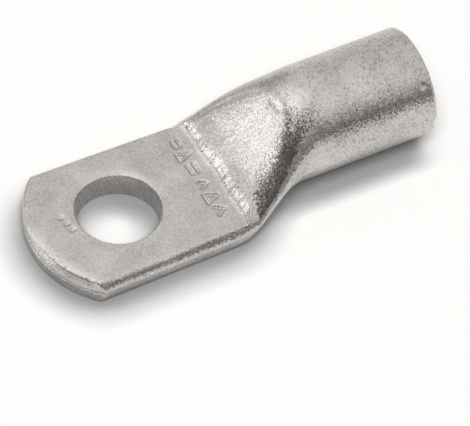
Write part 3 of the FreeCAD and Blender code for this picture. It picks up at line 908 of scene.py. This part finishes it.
def score_depth(tree, place):
    """How much short scores across the tube darken the plating, towards its crimping end."""
    stretched = node(tree, "ShaderNodeMapping", Vector=place, Scale=SCORE_STRETCH)
    cells = node(tree, "ShaderNodeTexVoronoi", Vector=stretched.outputs["Vector"],
                 Scale=SCORE_SCALE, Randomness=1.0)
    score = map_range(tree, cells.outputs["Distance"], SCORE_SPAN, (SCORE_DEPTH, 0.0))
    along = node(tree, "ShaderNodeSeparateXYZ", Vector=place)
    handled = map_range(tree, along.outputs["X"], SCORE_STATIONS)
    chance = node(tree, "ShaderNodeSeparateXYZ", Vector=cells.outputs["Color"])
    chosen = math_result(tree, "GREATER_THAN", chance.outputs["X"], SCORE_FREE_SHARE)
    kept = math_result(tree, "MULTIPLY", chosen, handled)
    return math_result(tree, "MULTIPLY", score, kept)


def tinned_metal():
    """Satin tin plating with a fine tumbled grain."""
    material, tree, shader = new_material("tin_plating")
    place = node(tree, "ShaderNodeTexCoord").outputs["Object"]
    grain = node(tree, "ShaderNodeTexNoise", Vector=place, Scale=GRAIN_SCALE,
                 Detail=2.5, Roughness=0.6)
    clouds = node(tree, "ShaderNodeTexNoise", Vector=place, Scale=CLOUD_SCALE,
                  Detail=4.0, Roughness=0.55)
    mottle = node(tree, "ShaderNodeMix", data_type="FLOAT", Factor=GRAIN_SHARE,
                  A=clouds.outputs["Fac"], B=grain.outputs["Fac"])
    tone = node(tree, "ShaderNodeMix", data_type="RGBA", A=DARK_TIN, B=LIGHT_TIN,
                Factor=map_range(tree, mottle.outputs["Result"], TONE_SPAN))

    # small dark pits left by the tumbling, and the scores
    cells = node(tree, "ShaderNodeTexVoronoi", Vector=place, Scale=PIT_SCALE, Randomness=1.0)
    pit = map_range(tree, cells.outputs["Distance"], PIT_SPAN, (PIT_TONE, 1.0))
    worn = math_result(tree, "SUBTRACT", pit, score_depth(tree, place))

    colour = vector_result(tree, "SCALE", tone.outputs["Result"], Scale=worn)
    roughness = map_range(tree, grain.outputs["Fac"], (0.0, 1.0), GRAIN_ROUGHNESS)
    feed(tree, shader.inputs["Base Color"], colour)
    feed(tree, shader.inputs["Metallic"], 1.0)
    feed(tree, shader.inputs["Roughness"], roughness)
    feed(tree, shader.inputs["Normal"], leaning_normal(tree, grain))
    return material


def toward(azimuth, elevation):
    """Unit vector to a point of the sky."""
    turn, rise = math.radians(azimuth), math.radians(elevation)
    return (math.cos(turn) * math.cos(rise), math.sin(turn) * math.cos(rise), math.sin(rise))


def pale_floor_painted_shadow():
    """Pale matt floor with a painted shadow, darker close beside the object on the side away from one
    direction of the sky.
    """
    material, tree, shader = new_material("pale_floor_painted_shadow")
    painted_shadow_towards = node(tree, "ShaderNodeCombineXYZ")
    for axis, part in zip("XYZ", toward(SHADOW_AZIMUTH, SHADOW_ELEVATION)):
        painted_shadow_towards.inputs[axis].default_value = part
    # painted shadow: how open the floor is towards that direction within SHADOW_REACH sets how far its
    # colour turns to SHADOW_COLOUR
    nearby = node(tree, "ShaderNodeAmbientOcclusion", samples=SHADOW_SAMPLES, Distance=SHADOW_REACH,
                  Normal=painted_shadow_towards.outputs["Vector"])
    tone = node(tree, "ShaderNodeMix", data_type="RGBA", A=SHADOW_COLOUR, B=FLOOR_COLOUR,
                Factor=map_range(tree, nearby.outputs["AO"], SHADOW_SPAN))
    feed(tree, shader.inputs["Base Color"], tone.outputs["Result"])
    feed(tree, shader.inputs["Roughness"], FLOOR_ROUGHNESS)
    feed(tree, shader.inputs["Specular IOR Level"], 0.0)
    return material


def make_floor():
    """Large floor under the object."""
    bpy.ops.mesh.primitive_plane_add(size=FLOOR_SIZE, location=(0.0, 0.0, -FLOOR_DROP))
    floor = bpy.context.object
    floor.name = "floor"
    floor.data.materials.append(pale_floor_painted_shadow())


def make_world():
    """World of soft boxes and flags for what is reflected, and a plain level for the floor."""
    world = bpy.data.worlds.new("studio")
    bpy.context.scene.world = world
    world.use_nodes = True
    tree = world.node_tree
    place = node(tree, "ShaderNodeTexCoord").outputs["Generated"]
    total = STUDIO_LEVEL
    for azimuth, elevation, reach, amount in STUDIO:
        middle = toward(azimuth, elevation)
        facing = combine(tree, "ShaderNodeVectorMath", "DOT_PRODUCT", place, middle)
        rim = math.cos(math.radians(reach))
        lobe = map_range(tree, facing.outputs["Value"], (rim, 1.0), (0.0, amount),
                         interpolation_type="SMOOTHSTEP")
        total = math_result(tree, "ADD", total, lobe)
    level = math_result(tree, "MAXIMUM", total, STUDIO_DARKEST)
    path = node(tree, "ShaderNodeLightPath")
    strength = node(tree, "ShaderNodeMix", data_type="FLOAT", Factor=path.outputs["Is Diffuse Ray"],
                    A=level, B=OPEN_LEVEL)
    background = tree.nodes["Background"]
    feed(tree, background.inputs["Color"], STUDIO_COLOUR)
    feed(tree, background.inputs["Strength"], strength.outputs["Result"])


def make_lamp():
    """Broad lamp for the floor and the shadow, which the metal doesn't reflect."""
    lamp = bpy.data.lights.new("key", "SUN")
    lamp.energy = KEY_STRENGTH
    lamp.angle = math.radians(KEY_ANGLE)
    key = bpy.data.objects.new("key", lamp)
    key.rotation_euler = (math.radians(90.0 - KEY_ELEVATION), 0.0, math.radians(KEY_AZIMUTH + 90.0))
    key.visible_glossy = False
    bpy.context.collection.objects.link(key)


def make_camera():
    """Camera at the photo's place."""
    data = bpy.data.cameras.new("camera")
    data.sensor_width = CAMERA_SENSOR
    data.lens = CAMERA_LENS
    data.clip_start, data.clip_end = CAMERA_CLIP
    camera = bpy.data.objects.new("camera", data)
    camera.location = CAMERA_PLACE
    camera.rotation_euler = [math.radians(angle) for angle in CAMERA_TURN]
    bpy.context.collection.objects.link(camera)
    bpy.context.scene.camera = camera


lug = make_lug()
lug.data.materials.append(tinned_metal())
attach(lug, "root")
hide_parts("cable_lug")
make_floor()
make_world()
make_lamp()
make_camera()

view = bpy.context.scene.view_settings
view.view_transform = "Standard"
